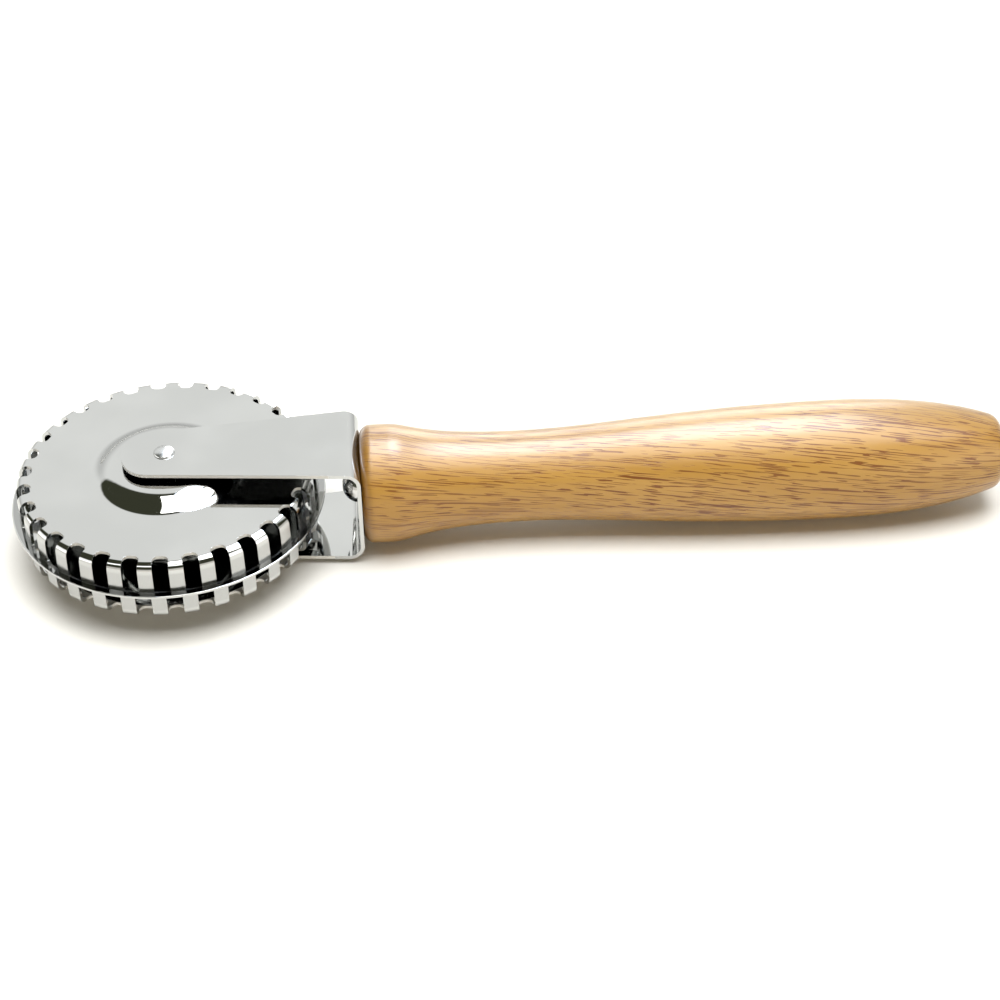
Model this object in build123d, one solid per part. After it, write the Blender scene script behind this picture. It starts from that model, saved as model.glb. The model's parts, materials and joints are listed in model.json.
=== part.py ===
from build123d import *
from math import pi
import os

# Pastry crimper: a wheel of two toothed cups with a cutting disc between them, spinning in a sheet fork
# that one screw holds on a turned wooden handle.
# Frame, in millimetres: the origin is on the handle's axis at its waist, +X runs along the handle to its butt
# and +Z runs along the wheel's axle.

# Cutting disc
DISC_DIAMETER = 57.0
DISC_THICKNESS = 0.5
DISC_EDGE_CHAMFER = 0.12
DISC_REACH_PAST_TEETH = 1.2

# Toothed cups, each pressed from one sheet
CUP_SHEET = 0.6
CUP_DEPTH = 5.8
CUP_BEND_INNER_RADIUS = 1.1
TOOTH_COUNT = 31
TOOTH_WIDTH = 2.65
TOOTH_FLARE = 0.2
UPPER_TOOTH_ANGLE = -96.0
LOWER_TOOTH_ANGLE = -92.0
NOTCH_INTO_FLAT = 1.0
NOTCH_CORNER_RADIUS = 1.1

# Raised centre of each cup
BOSS_TOP_DIAMETER = 20.2
BOSS_WALL_RUN = 2.9
BOSS_HEIGHT = 2.1
BOSS_TOP_FILLET = 5.0
BOSS_FOOT_FILLET = 4.0

# Axle pin, hub eyelet and washers
AXLE_DIAMETER = 3.0
AXLE_HEAD_OVERHANG = 0.4
AXLE_HEAD_HEIGHT = 0.7
AXLE_HEAD_RIM_ROUNDING = 0.4
AXLE_HOLE_CLEARANCE = 0.02
EYELET_RUNNING_CLEARANCE = 0.06
EYELET_WALL = 0.5
EYELET_FLANGE_WIDTH = 1.64
EYELET_FLANGE_THICKNESS = 0.4
EYELET_FLANGE_ROUNDING = 0.15
EYELET_SEAT_CLEARANCE = 0.02
WASHER_WIDTH = 2.42
WASHER_THICKNESS = 0.45
WASHER_BORE_CLEARANCE = 0.08
HUB_SIDE_CLEARANCE = 0.05

# Fork, bent from one strip
FORK_SHEET = 0.7
FORK_BEND_INNER_RADIUS = 2.1
FORK_WEB_WIDTH = 19.0
FORK_AXLE_WIDTH = 13.0
FORK_END_RADIUS = 7.75
DISC_TO_SCREW_HEAD = 3.0

# Round-head screw that holds the fork on the handle
SCREW_DIAMETER = 3.5
SCREW_LENGTH = 25.0
SCREW_POINT_LENGTH = 4.0
SCREW_POINT_DIAMETER = 0.6
SCREW_HEAD_OVERHANG = 1.55
SCREW_HEAD_HEIGHT = 2.9
SCREW_SLOT_WIDTH = 0.8
SCREW_SLOT_DEPTH = 1.2
SCREW_WEB_CLEARANCE = 0.1
SCREW_WOOD_CLEARANCE = 0.03
SCREW_HOLE_EXTRA_DEPTH = 1.0

# Turned handle: its diameters, and the lengths of its stretches from front to butt
COLLAR_DIAMETER = 21.64
WAIST_DIAMETER = 16.72
BELLY_DIAMETER = 21.84
SHOULDER_DIAMETER = 14.2
COLLAR_ROUNDING = 2.0
COLLAR_BAND = 3.0
NECK_LENGTH = 24.5
SWELL_LENGTH = 57.1
TAIL_LENGTH = 29.2
BUTT_LENGTH = 2.1
BUTT_EDGE = 2.9
SHOULDER_SLOPE = 0.33
# How far each curve of the handle keeps its end direction, as a share of that curve's own length
COLLAR_EASE = 0.17
WAIST_FRONT_EASE = 0.77
WAIST_BACK_EASE = 0.26
BELLY_FRONT_EASE = 0.49
BELLY_BACK_EASE = 0.51
SHOULDER_EASE = 0.2
BUTT_EASE = 0.6

# Heights above the disc's middle plane, each stacked on the one before
DISC_FACE = DISC_THICKNESS / 2
CUP_FACE = DISC_FACE + CUP_DEPTH
BOSS_FACE = CUP_FACE + BOSS_HEIGHT
FLANGE_FACE = BOSS_FACE + EYELET_FLANGE_THICKNESS
WASHER_SEAT = FLANGE_FACE + HUB_SIDE_CLEARANCE
ARM_INNER = WASHER_SEAT + WASHER_THICKNESS
ARM_OUTER = ARM_INNER + FORK_SHEET

# Radii that several pieces share
DISC_RADIUS = DISC_DIAMETER / 2
CUP_RADIUS = DISC_RADIUS - DISC_REACH_PAST_TEETH
AXLE_RADIUS = AXLE_DIAMETER / 2
EYELET_BORE_RADIUS = AXLE_RADIUS + EYELET_RUNNING_CLEARANCE
EYELET_RADIUS = EYELET_BORE_RADIUS + EYELET_WALL
HUB_HOLE_RADIUS = EYELET_RADIUS + EYELET_SEAT_CLEARANCE
SCREW_RADIUS = SCREW_DIAMETER / 2
FORK_BEND_RADIUS = FORK_BEND_INNER_RADIUS + FORK_SHEET

# Places along the handle's axis, from the wheel to the butt
HANDLE_FRONT = -(COLLAR_ROUNDING + COLLAR_BAND + NECK_LENGTH)
COLLAR_END = HANDLE_FRONT + COLLAR_ROUNDING + COLLAR_BAND
WAIST = COLLAR_END + NECK_LENGTH
BELLY = WAIST + SWELL_LENGTH
SHOULDER = BELLY + TAIL_LENGTH
BUTT = SHOULDER + BUTT_LENGTH
WEB_INNER = HANDLE_FRONT - FORK_SHEET
SCREW_CROWN = WEB_INNER - SCREW_HEAD_HEIGHT
AXLE = SCREW_CROWN - DISC_TO_SCREW_HEAD - DISC_RADIUS
FORK_END = AXLE - FORK_END_RADIUS


def turned(edges, axis):
    """A solid of revolution from the edges of half its section, drawn on the XZ plane."""
    return revolve(Plane.XZ * make_face(edges), axis)


def on_axle(piece):
    """A piece drawn about the origin, moved to the wheel's axle."""
    return Pos(AXLE, 0, 0) * piece


def eased(start, start_ease, start_slope, end, end_ease, end_slope):
    """A curve of the handle's outline that keeps each end's slope over a share of its length."""
    length = end[0] - start[0]
    leave = start_ease * length
    arrive = end_ease * length
    return Bezier(
        start,
        (start[0] + leave, start[1] + leave * start_slope),
        (end[0] - arrive, end[1] - arrive * end_slope),
        end,
    )


def make_handle():
    """Wooden handle: collar, waist, belly and a small flat butt, bored for the screw."""
    collar = COLLAR_DIAMETER / 2
    waist = (WAIST, WAIST_DIAMETER / 2)
    belly = (BELLY, BELLY_DIAMETER / 2)
    shoulder = (SHOULDER, SHOULDER_DIAMETER / 2)
    butt_edge = (BUTT, shoulder[1] - BUTT_EDGE)
    front_edge = (HANDLE_FRONT, collar - COLLAR_ROUNDING)
    collar_start = (HANDLE_FRONT + COLLAR_ROUNDING, collar)
    collar_end = (COLLAR_END, collar)
    leave = BUTT_EASE * BUTT_LENGTH
    butt_rounding = Bezier(
        shoulder,
        (SHOULDER + leave, shoulder[1] - leave * SHOULDER_SLOPE),
        (BUTT, butt_edge[1] + BUTT_EASE * BUTT_EDGE),
        butt_edge,
    )
    outline = [
        Line((HANDLE_FRONT, 0), front_edge),
        RadiusArc(front_edge, collar_start, COLLAR_ROUNDING),
        Line(collar_start, collar_end),
        eased(collar_end, COLLAR_EASE, 0, waist, WAIST_FRONT_EASE, 0),
        eased(waist, WAIST_BACK_EASE, 0, belly, BELLY_FRONT_EASE, 0),
        eased(belly, BELLY_BACK_EASE, 0, shoulder, SHOULDER_EASE, -SHOULDER_SLOPE),
        butt_rounding,
        Line(butt_edge, (BUTT, 0)),
        Line((BUTT, 0), (HANDLE_FRONT, 0)),
    ]
    return turned(outline, Axis.X) - make_screw_hole()


def make_screw_hole():
    """Pilot hole in the handle, following the screw's shank and point."""
    radius = SCREW_RADIUS + SCREW_WOOD_CLEARANCE
    end = WEB_INNER + SCREW_LENGTH + SCREW_HOLE_EXTRA_DEPTH
    outline = Polyline(
        (HANDLE_FRONT, 0),
        (HANDLE_FRONT, radius),
        (end - SCREW_POINT_LENGTH, radius),
        (end, SCREW_POINT_DIAMETER / 2 + SCREW_WOOD_CLEARANCE),
        (end, 0),
        close=True,
    )
    return turned(outline.edges(), Axis.X)


def make_screw():
    """Round-head wood screw with a plain slot, its head inside the fork."""
    head = SCREW_RADIUS + SCREW_HEAD_OVERHANG
    tip = WEB_INNER + SCREW_LENGTH
    dome = EllipticalCenterArc((WEB_INNER, 0), SCREW_HEAD_HEIGHT, head, start_angle=90)
    shank = Polyline(
        (WEB_INNER, head),
        (WEB_INNER, SCREW_RADIUS),
        (tip - SCREW_POINT_LENGTH, SCREW_RADIUS),
        (tip, SCREW_POINT_DIAMETER / 2),
        (tip, 0),
        (SCREW_CROWN, 0),
    )
    screw = turned([dome, *shank.edges()], Axis.X)
    slot = Box(2 * SCREW_SLOT_DEPTH, SCREW_SLOT_WIDTH, 2 * head)
    return screw - Pos(SCREW_CROWN, 0, 0) * slot


def make_fork():
    """U-shaped fork: two arms that taper to round ends, and the web against the handle."""
    reach = HANDLE_FRONT - FORK_END
    outside = Pos(HANDLE_FRONT - reach / 2, 0) * Rectangle(reach, 2 * ARM_OUTER)
    outside = fillet(outside.vertices().group_by(Axis.X)[-1], FORK_BEND_RADIUS)
    inside = Pos(WEB_INNER - reach / 2, 0) * Rectangle(reach, 2 * ARM_INNER)
    inside = fillet(inside.vertices().group_by(Axis.X)[-1], FORK_BEND_INNER_RADIUS)
    strip = extrude(Plane.XZ * (outside - inside), FORK_WEB_WIDTH / 2, both=True)
    fork = strip & extrude(make_fork_plan(), ARM_OUTER, both=True)
    axle_hole = Cylinder(AXLE_RADIUS + AXLE_HOLE_CLEARANCE, 2 * ARM_OUTER)
    screw_hole = Cylinder(SCREW_RADIUS + SCREW_WEB_CLEARANCE, 2 * FORK_SHEET, rotation=(0, 90, 0))
    return fork - on_axle(axle_hole) - Pos(WEB_INNER, 0, 0) * screw_hole


def make_fork_plan():
    """Plan of the fork: full width at the web, tapering past the axle to a round end about it."""
    web_half = FORK_WEB_WIDTH / 2
    taper_start = HANDLE_FRONT - FORK_BEND_RADIUS
    taper = (web_half - FORK_AXLE_WIDTH / 2) / (taper_start - AXLE)
    end_half = FORK_AXLE_WIDTH / 2 - taper * FORK_END_RADIUS
    plan = Polyline(
        (HANDLE_FRONT, -web_half),
        (HANDLE_FRONT, web_half),
        (taper_start, web_half),
        (FORK_END, end_half),
        (FORK_END, -end_half),
        (taper_start, -web_half),
        close=True,
    )
    round_end = Pos(AXLE, 0) * Circle(FORK_END_RADIUS)
    past_axle = Pos((AXLE + HANDLE_FRONT) / 2, 0) * Rectangle(HANDLE_FRONT - AXLE, FORK_WEB_WIDTH)
    return make_face(plan.edges()) & (round_end + past_axle)


def make_axle_pin():
    """Axle pin across the fork, spun over to a low dome at both ends."""
    head = AXLE_RADIUS + AXLE_HEAD_OVERHANG
    crown = ARM_OUTER + AXLE_HEAD_HEIGHT
    rim = AXLE_HEAD_RIM_ROUNDING
    rim_centre = head - rim
    dome = (rim_centre**2 + AXLE_HEAD_HEIGHT**2 - rim**2) / (2 * (AXLE_HEAD_HEIGHT - rim))
    share = dome / (dome - rim)
    shoulder = (rim_centre * share, ARM_OUTER + (dome - AXLE_HEAD_HEIGHT) * (share - 1))
    lower_shoulder = (shoulder[0], -shoulder[1])
    shank = Polyline(
        (head, ARM_OUTER),
        (AXLE_RADIUS, ARM_OUTER),
        (AXLE_RADIUS, -ARM_OUTER),
        (head, -ARM_OUTER),
    )
    outline = [
        Line((0, -crown), (0, crown)),
        RadiusArc((0, crown), shoulder, dome),
        RadiusArc(shoulder, (head, ARM_OUTER), rim),
        *shank.edges(),
        RadiusArc((head, -ARM_OUTER), lower_shoulder, rim),
        RadiusArc(lower_shoulder, (0, -crown), dome),
    ]
    return on_axle(turned(outline, Axis.Z))


def make_upper_washer():
    """Spacer washer on the axle pin, between the hub and the upper arm."""
    bore = AXLE_RADIUS + WASHER_BORE_CLEARANCE
    ring = Circle(bore + WASHER_WIDTH) - Circle(bore)
    return on_axle(Pos(0, 0, WASHER_SEAT) * extrude(ring, WASHER_THICKNESS))


def make_eyelet():
    """Hub tube that runs on the axle pin, with a flange rolled over each cup."""
    flange = EYELET_RADIUS + EYELET_FLANGE_WIDTH
    section = Polyline(
        (EYELET_BORE_RADIUS, -FLANGE_FACE),
        (flange, -FLANGE_FACE),
        (flange, -BOSS_FACE),
        (EYELET_RADIUS, -BOSS_FACE),
        (EYELET_RADIUS, BOSS_FACE),
        (flange, BOSS_FACE),
        (flange, FLANGE_FACE),
        (EYELET_BORE_RADIUS, FLANGE_FACE),
        close=True,
    )
    eyelet = turned(section.edges(), Axis.Z)
    rims = eyelet.edges().filter_by(GeomType.CIRCLE).group_by(SortBy.RADIUS)[-1].sort_by(Axis.Z)
    return on_axle(fillet([rims[0], rims[-1]], EYELET_FLANGE_ROUNDING))


def make_disc():
    """Thin cutting disc, its rim broken on both faces."""
    disc = extrude(Circle(DISC_RADIUS) - Circle(HUB_HOLE_RADIUS), DISC_FACE, both=True)
    rim = disc.edges().filter_by(GeomType.CIRCLE).group_by(SortBy.RADIUS)[-1]
    return on_axle(chamfer(rim, DISC_EDGE_CHAMFER))


def make_upper_cup(tooth_angle):
    """Upper toothed cup: a sheet with a raised centre, its rim turned down and notched into teeth."""
    boss_top = BOSS_TOP_DIAMETER / 2
    outer_line = FilletPolyline(
        (HUB_HOLE_RADIUS, BOSS_FACE),
        (boss_top, BOSS_FACE),
        (boss_top + BOSS_WALL_RUN, CUP_FACE),
        (CUP_RADIUS - TOOTH_FLARE, CUP_FACE),
        (CUP_RADIUS + TOOTH_FLARE, DISC_FACE - CUP_DEPTH),
        radius=[BOSS_TOP_FILLET, BOSS_FOOT_FILLET, CUP_BEND_INNER_RADIUS + CUP_SHEET],
    )
    sheet = outer_line.wire().offset_2d(CUP_SHEET, side=Side.RIGHT)
    cup = split(turned(sheet.edges(), Axis.Z), Plane.XY.offset(DISC_FACE), Keep.TOP)
    pitch = 360 / TOOTH_COUNT
    first_notch = tooth_angle + pitch / 2
    notch = make_notch()
    return on_axle(cup - [Rot(0, 0, first_notch + index * pitch) * notch for index in range(TOOTH_COUNT)])


def make_notch():
    """Cutter for the gap between two teeth, lying along X, with round corners in the cup's flat."""
    rim_pitch = 2 * pi * CUP_RADIUS / TOOTH_COUNT
    width = rim_pitch - TOOTH_WIDTH
    bend = CUP_BEND_INNER_RADIUS + CUP_SHEET
    inner = CUP_RADIUS - TOOTH_FLARE - bend - NOTCH_INTO_FLAT
    length = DISC_RADIUS - inner
    plan = Pos(inner + length / 2, 0) * Rectangle(length, width)
    plan = fillet(plan.vertices().group_by(Axis.X)[0], min(NOTCH_CORNER_RADIUS, 0.45 * width))
    return extrude(plan, BOSS_FACE)


pieces = {
    "handle": make_handle(),
    "fork": make_fork(),
    "fork_screw": make_screw(),
    "axle_pin": make_axle_pin(),
    "upper_washer": make_upper_washer(),
    "lower_washer": mirror(make_upper_washer(), about=Plane.XY),
    "upper_tooth_cup": make_upper_cup(UPPER_TOOTH_ANGLE),
    "lower_tooth_cup": mirror(make_upper_cup(LOWER_TOOTH_ANGLE), about=Plane.XY),
    "cutting_disc": make_disc(),
    "hub_eyelet": make_eyelet(),
}

os.makedirs("parts", exist_ok=True)
for name, piece in pieces.items():
    export_step(piece, f"parts/{name}.step")
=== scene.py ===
"""Looks of a pastry crimper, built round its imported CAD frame.

Two toothed cups and a thin cutting disc spin on a pin in a bent sheet fork, which one screw holds on a turned
wooden handle. The classes' sizes are in millimetres and become metres when a mesh is made. The frame is the CAD
model's: the origin is on the handle's axis at its waist, +X runs along the handle to its butt and +Z runs along
the wheel's axle.
"""

from __future__ import annotations

import json
import logging
from collections.abc import Sequence
from dataclasses import dataclass
from enum import Enum
from math import asin, atan2, cos, hypot, pi, radians, sin, sqrt, tan

import bmesh
import bpy
from mathutils import Matrix, Vector


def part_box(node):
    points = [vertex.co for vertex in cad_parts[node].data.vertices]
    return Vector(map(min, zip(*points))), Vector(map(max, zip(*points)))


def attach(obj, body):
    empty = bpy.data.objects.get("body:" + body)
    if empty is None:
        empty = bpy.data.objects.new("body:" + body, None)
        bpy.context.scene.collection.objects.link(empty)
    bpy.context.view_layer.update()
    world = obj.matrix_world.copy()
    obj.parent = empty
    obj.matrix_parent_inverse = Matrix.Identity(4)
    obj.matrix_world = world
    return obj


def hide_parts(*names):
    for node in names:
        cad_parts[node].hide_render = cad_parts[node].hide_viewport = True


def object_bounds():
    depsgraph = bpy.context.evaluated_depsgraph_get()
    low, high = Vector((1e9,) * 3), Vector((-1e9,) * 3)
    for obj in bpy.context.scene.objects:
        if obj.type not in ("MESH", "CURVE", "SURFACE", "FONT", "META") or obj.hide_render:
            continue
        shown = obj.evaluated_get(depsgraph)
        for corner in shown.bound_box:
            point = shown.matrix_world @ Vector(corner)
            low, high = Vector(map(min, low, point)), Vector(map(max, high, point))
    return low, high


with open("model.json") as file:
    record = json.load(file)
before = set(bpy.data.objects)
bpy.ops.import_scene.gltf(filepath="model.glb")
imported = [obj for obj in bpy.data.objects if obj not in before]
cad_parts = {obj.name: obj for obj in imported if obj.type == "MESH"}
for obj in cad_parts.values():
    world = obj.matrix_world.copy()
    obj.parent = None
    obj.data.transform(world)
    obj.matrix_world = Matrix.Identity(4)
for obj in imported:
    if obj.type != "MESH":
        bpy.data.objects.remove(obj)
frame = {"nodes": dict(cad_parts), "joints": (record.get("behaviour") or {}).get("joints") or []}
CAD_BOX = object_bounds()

LOG = logging.getLogger("pastry_crimper")
MM = 0.001
TINY = 1e-6
MERGE_DISTANCE = 1e-4
SMOOTH_ANGLE = radians(35)
BEVEL_ANGLE = radians(40)
AXLE = frame["joints"][0]["pos_m"][0] / MM

Pair = tuple[float, float]
Corner = tuple[float, float, float]
Colour = tuple[float, float, float]
Socket = bpy.types.NodeSocket


class Body(Enum):
    """Bodies of the CAD model that a piece can ride on."""

    HANDLE = "handle_and_fork"
    WHEEL = "wheel"


class Slot(Enum):
    """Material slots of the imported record."""

    WOOD = "varnished_wood"
    PLATE = "bright_plate"
    STEEL = "plain_steel"


class Turn(Enum):
    """Axis that a turned piece is made about."""

    HANDLE_AXIS = "X"
    AXLE = "Z"


class Side(Enum):
    """Side of the cutting disc that a toothed cup sits on."""

    UPPER = 1
    LOWER = -1


# Outlines and meshes


def cad_box(node: str) -> tuple[Vector, Vector]:
    """Gives a CAD node's lowest and highest corners, in millimetres."""
    low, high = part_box(node)
    return low / MM, high / MM


def rounded_line(corners: Sequence[Corner], steps: int, guard: float = 0.04) -> list[Pair]:
    """Draws a line through corners, each rounded by its own radius.

    Args:
        corners: Each corner's two coordinates and its radius; the radii of the two ends aren't used.
        steps: Straight pieces in each rounding.
        guard: Distance to a point kept on the straight stretch beside each rounding, so it stays flat.

    Returns:
        The points of the line, in order.
    """
    line = [corners[0][:2]]
    for before, corner, after in zip(corners, corners[1:], corners[2:]):
        place = Vector(corner[:2])
        radius = corner[2]
        if radius == 0:
            line.append(corner[:2])
            continue
        back = (Vector(before[:2]) - place).normalized()
        onward = (Vector(after[:2]) - place).normalized()
        half = back.angle(onward) / 2
        reach = radius / tan(half)
        centre = place + (back + onward).normalized() * (radius / sin(half))
        start = place + back * reach - centre
        left_turn = back.x * onward.y - back.y * onward.x < 0
        sweep = (pi - 2 * half) * (1 if left_turn else -1)
        line.append(tuple(place + back * (reach + guard)))
        for step in range(steps + 1):
            line.append(tuple(centre + Matrix.Rotation(sweep * step / steps, 2) @ start))
        line.append(tuple(place + onward * (reach + guard)))
    line.append(corners[-1][:2])
    return line


def arc(centre: Pair, radii: Pair, start: float, end: float, steps: int) -> list[Pair]:
    """Draws part of a circle, or of an ellipse.

    Args:
        centre: Its middle.
        radii: Its radius against the first axis, or along it where negative, and its radius along the second.
        start: First angle, in radians.
        end: Last angle.
        steps: Straight pieces in it.

    Returns:
        The points of the arc, in order.
    """
    angles = [start + (end - start) * step / steps for step in range(steps + 1)]
    return [(centre[0] - radii[0] * cos(angle), centre[1] + radii[1] * sin(angle)) for angle in angles]


def eased_curve(start: Pair, leave: Pair, arrive: Pair, end: Pair, steps: int) -> list[Pair]:
    """Draws a cubic curve.

    Args:
        start: First point.
        leave: Control point that the curve sets out towards.
        arrive: Control point that the curve comes in from.
        end: Last point.
        steps: Straight pieces in the curve.

    Returns:
        The curve's points after the first one.
    """
    line = []
    for step in range(1, steps + 1):
        t = step / steps
        weights = ((1 - t) ** 3, 3 * t * (1 - t) ** 2, 3 * t * t * (1 - t), t**3)
        points = (start, leave, arrive, end)
        line.append(tuple(sum(w * p[i] for w, p in zip(weights, points)) for i in range(2)))
    return line


def offset_line(line: Sequence[Pair], distance: float) -> list[Pair]:
    """Moves a line sideways, to its right.

    Args:
        line: The line's points.
        distance: How far each point moves.

    Returns:
        The moved points, one for each point given.
    """
    moved = []
    for index, point in enumerate(line):
        before = Vector(line[max(index - 1, 0)])
        after = Vector(line[min(index + 1, len(line) - 1)])
        here = Vector(point)
        ways = [way.normalized() for way in (here - before, after - here) if way.length > 0]
        along = sum(ways, Vector((0, 0))).normalized()
        moved.append((point[0] + along.y * distance, point[1] - along.x * distance))
    return moved


def add_object(name: str, data: bpy.types.ID) -> bpy.types.Object:
    """Links a mesh, a light or a camera into the scene as an object at the origin."""
    added = bpy.data.objects.new(name, data)
    bpy.context.scene.collection.objects.link(added)
    return added


def to_mesh(name: str, shape: bmesh.types.BMesh) -> bpy.types.Mesh:
    """Turns a shape drawn in millimetres into a mesh in metres, and uses the shape up."""
    mesh = bpy.data.meshes.new(name)
    shape.to_mesh(mesh)
    shape.free()
    mesh.transform(Matrix.Scale(MM, 4))
    return mesh


def as_piece(name: str, shape: bmesh.types.BMesh) -> bpy.types.Object:
    """Turns a closed shape drawn in millimetres into an object in metres.

    Args:
        name: The piece's name.
        shape: The shape, which is used up.

    Returns:
        The object, smooth but for its sharp edges, with its faces outwards.
    """
    bmesh.ops.remove_doubles(shape, verts=shape.verts, dist=MERGE_DISTANCE)
    bmesh.ops.recalc_face_normals(shape, faces=shape.faces)
    mesh = to_mesh(name, shape)
    mesh.polygons.foreach_set("use_smooth", [True] * len(mesh.polygons))
    mesh.set_sharp_from_angle(angle=SMOOTH_ANGLE)
    return add_object(name, mesh)


def turned_piece(name: str, line: Sequence[Pair], turn: Turn, centre: float, segments: int) -> bpy.types.Object:
    """Turns half a section about an axis.

    Args:
        name: The piece's name.
        line: Points of the half section, as place along the axis and radius; both ends on the axis, or a ring.
        turn: Axis of the piece.
        centre: Place of an upright axis along the handle.
        segments: Flat pieces round the axis.

    Returns:
        The turned object.
    """
    shape = bmesh.new()
    rings = []
    for along, radius in line:
        ring = []
        for segment in range(segments if radius > TINY else 1):
            angle = 2 * pi * segment / segments
            across, rise = radius * cos(angle), radius * sin(angle)
            place = (along, across, rise) if turn is Turn.HANDLE_AXIS else (centre + across, rise, along)
            ring.append(shape.verts.new(place))
        rings.append(ring)
    is_ring = len(rings[0]) > 1
    for ring, following in zip(rings, rings[1:] + rings[:1] if is_ring else rings[1:]):
        for segment in range(segments):
            near = segment + 1 if segment + 1 < segments else 0
            corners = [ring[segment % len(ring)], ring[near % len(ring)]]
            corners += [following[near % len(following)], following[segment % len(following)]]
            shape.faces.new(list(dict.fromkeys(corners)))
    return as_piece(name, shape)


def soften_edges(piece: bpy.types.Object, width: float, segments: int = 3) -> None:
    """Rounds a piece's sharp edges with a Bevel and keeps the result as its mesh.

    Args:
        piece: The piece to change.
        width: Width of the rounding, in millimetres.
        segments: Steps in the rounding.
    """
    bevel = piece.modifiers.new("soft edges", "BEVEL")
    bevel.width = width * MM
    bevel.segments = segments
    bevel.limit_method = "ANGLE"
    bevel.angle_limit = BEVEL_ANGLE
    bevel.harden_normals = True
    keep_result(piece)


def keep_result(piece: bpy.types.Object) -> None:
    """Makes what a piece's modifiers give its own mesh, and removes them."""
    seen = piece.evaluated_get(bpy.context.evaluated_depsgraph_get())
    mesh = bpy.data.meshes.new_from_object(seen)
    mesh.name = piece.name
    piece.modifiers.clear()
    piece.data = mesh


# Nodes and finishes


class Nodes:
    """A node tree and short ways to add nodes to it."""

    def __init__(self, tree: bpy.types.NodeTree) -> None:
        """Takes the tree to add to."""
        self.tree = tree

    def set(self, socket: Socket, value: object) -> None:
        """Gives a socket a value, or joins an output to it."""
        if isinstance(value, Socket):
            self.tree.links.new(value, socket)
        else:
            socket.default_value = value

    def node(self, kind: str, values: dict[str | int, object], **options: object) -> bpy.types.Node:
        """Adds a node.

        Args:
            kind: The node's type.
            values: A value or an output to join, for each input by name or number.
            options: Settings of the node itself.

        Returns:
            The new node.
        """
        node = self.tree.nodes.new(kind)
        for name, option in options.items():
            setattr(node, name, option)
        for name, value in values.items():
            self.set(node.inputs[name], value)
        return node

    def maths(self, operation: str, *values: object) -> Socket:
        """Adds a Math node for values or outputs, and gives its result."""
        return self.node("ShaderNodeMath", dict(enumerate(values)), operation=operation).outputs["Value"]

    def measure(self, operation: str, *vectors: object) -> Socket:
        """Adds a Vector Math node for vectors or outputs, and gives the value that it measures."""
        return self.node("ShaderNodeVectorMath", dict(enumerate(vectors)), operation=operation).outputs["Value"]

    def spread(self, value: Socket, low: float, high: float, to: Pair = (0, 1)) -> Socket:
        """Maps part of a pattern's range smoothly to new limits.

        Args:
            value: The pattern.
            low: Value that becomes the first new limit.
            high: Value that becomes the second new limit.
            to: The two new limits.

        Returns:
            The output with the mapped pattern.
        """
        values = {"Value": value, "From Min": low, "From Max": high, "To Min": to[0], "To Max": to[1]}
        return self.node("ShaderNodeMapRange", values, interpolation_type="SMOOTHSTEP").outputs["Result"]

    def blend(self, share: Socket, first: Colour | Socket, second: Colour | Socket) -> Socket:
        """Mixes two colours.

        Args:
            share: How much of the second colour there is.
            first: Colour or output.
            second: Colour or output.

        Returns:
            The output with the mixed colour.
        """
        mix = self.node("ShaderNodeMix", {}, data_type="RGBA")
        for socket, value in ((mix.inputs[0], share), (mix.inputs[6], first), (mix.inputs[7], second)):
            self.set(socket, (*value, 1.0) if isinstance(value, tuple) else value)
        return mix.outputs[2]


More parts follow.
